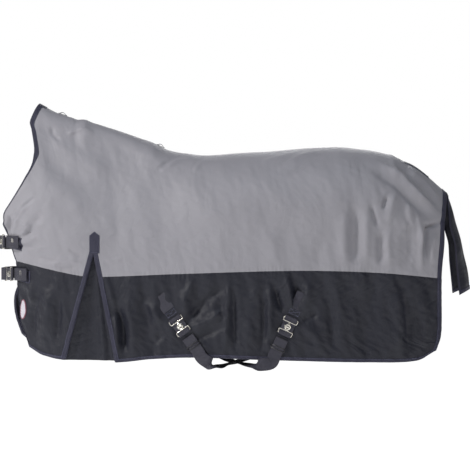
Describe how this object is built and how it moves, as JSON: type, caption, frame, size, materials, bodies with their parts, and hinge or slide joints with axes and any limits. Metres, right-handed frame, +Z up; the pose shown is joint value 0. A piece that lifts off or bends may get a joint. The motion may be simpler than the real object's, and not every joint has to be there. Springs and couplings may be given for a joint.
{
  "type": "turnout rug",
  "caption": "High-neck turnout rug shaped as it hangs on a horse, with chest and belly strap fastenings, shoulder gussets and a tail flap.",
  "frame": {"origin": "under the lining on the ridge line at the withers, where the rug rests on the horse", "axes": "+X towards the tail, +Z up, -Y towards the horse's left side"},
  "size_m": [1.9545, 0.6382, 1.0708],
  "materials": {
    "grey_ripstop": "satin coated weave",
    "navy_ripstop": "satin coated weave",
    "navy_tape": "woven tape",
    "webbing": "polypropylene webbing",
    "lining": "nylon taffeta",
    "fill": "polyester wadding",
    "badge": "woven badge",
    "dark_nylon": "moulded nylon",
    "nickel": "nickel-plated steel"
  },
  "bodies": {
    "rug": {"upper_shell": "grey_ripstop", "left_side_panel": "navy_ripstop", "right_side_panel": "navy_ripstop", "polyester_fill": "fill", "lining": "lining", "left_gusset": "navy_ripstop", "right_gusset": "navy_ripstop", "left_gusset_tab": "navy_tape", "right_gusset_tab": "navy_tape", "left_slit_tape": "navy_tape", "right_slit_tape": "navy_tape", "crest_band": "navy_tape", "left_neck_binding": "navy_tape", "right_neck_binding": "navy_tape", "left_hem_binding": "navy_tape", "right_hem_binding": "navy_tape", "rear_binding": "navy_tape", "tail_head_patch": "navy_tape", "front_crest_loop": "grey_ripstop", "withers_loop": "grey_ripstop", "left_front_surcingle_webbing": "webbing", "left_rear_surcingle_webbing": "webbing", "right_front_surcingle_webbing": "webbing", "right_rear_surcingle_webbing": "webbing", "front_surcingle_hook": "nickel", "rear_surcingle_hook": "nickel"},
    "left_chest_flap": {"left_chest_upper": "grey_ripstop", "left_chest_panel": "navy_ripstop", "left_chest_lining": "lining", "left_chest_binding": "navy_tape", "oval_badge": "badge", "left_upper_chest_patch": "navy_tape", "left_lower_chest_patch": "navy_tape", "left_upper_chest_strap": "webbing", "left_lower_chest_strap": "webbing", "upper_chest_ring": "nickel", "lower_chest_ring": "nickel"},
    "right_chest_flap": {"right_chest_upper": "grey_ripstop", "right_chest_panel": "navy_ripstop", "right_chest_lining": "lining", "right_chest_binding": "navy_tape", "right_upper_chest_patch": "navy_tape", "right_lower_chest_patch": "navy_tape", "right_upper_chest_strap": "webbing", "right_lower_chest_strap": "webbing", "upper_chest_hook": "nickel", "lower_chest_hook": "nickel"},
    "front_surcingle": {"front_surcingle_strap": "webbing", "front_surcingle_ring": "nickel"},
    "rear_surcingle": {"rear_surcingle_strap": "webbing", "rear_surcingle_ring": "nickel"},
    "front_surcingle_slider": {"front_surcingle_slider": "dark_nylon"},
    "rear_surcingle_slider": {"rear_surcingle_slider": "dark_nylon"},
    "tail_flap": {"tail_flap": "navy_ripstop", "tail_flap_binding": "navy_tape"}
  },
  "joints": [
    {"name": "tail_flap_lift", "type": "hinge", "parent": "rug", "child": "tail_flap", "pos_m": [1.129, 0, -0.1616], "axis": [0, -1, 0], "range_deg": [0, 100]},
    {"name": "left_chest_flap_open", "type": "hinge", "parent": "rug", "child": "left_chest_flap", "pos_m": [-0.295, -0.23418, -0.6], "axis": [0, 0, 1], "range_deg": [0, 40]},
    {"name": "right_chest_flap_open", "type": "hinge", "parent": "rug", "child": "right_chest_flap", "pos_m": [-0.295, 0.23418, -0.6], "axis": [0, 0, -1], "range_deg": [0, 40]},
    {"name": "front_surcingle_swing", "type": "hinge", "parent": "rug", "child": "front_surcingle", "pos_m": [0.25, 0.29832, -0.8436], "axis": [1, 0, 0], "range_deg": [0, 75]},
    {"name": "rear_surcingle_swing", "type": "hinge", "parent": "rug", "child": "rear_surcingle", "pos_m": [0.25, 0.29832, -0.8436], "axis": [1, 0, 0], "range_deg": [0, 75]},
    {"name": "front_slider_slide", "type": "slide", "parent": "front_surcingle", "child": "front_surcingle_slider", "axis": [0.5761, -0.0649, -0.8148], "range_m": [-0.009, 0.009]},
    {"name": "rear_slider_slide", "type": "slide", "parent": "rear_surcingle", "child": "rear_surcingle_slider", "axis": [-0.4191, -0.0005, -0.908], "range_m": [-0.009, 0.009]}
  ],
  "couplings": [
    {"joint": "rear_surcingle_swing", "follows": "front_surcingle_swing", "ratio": 1}
  ]
}
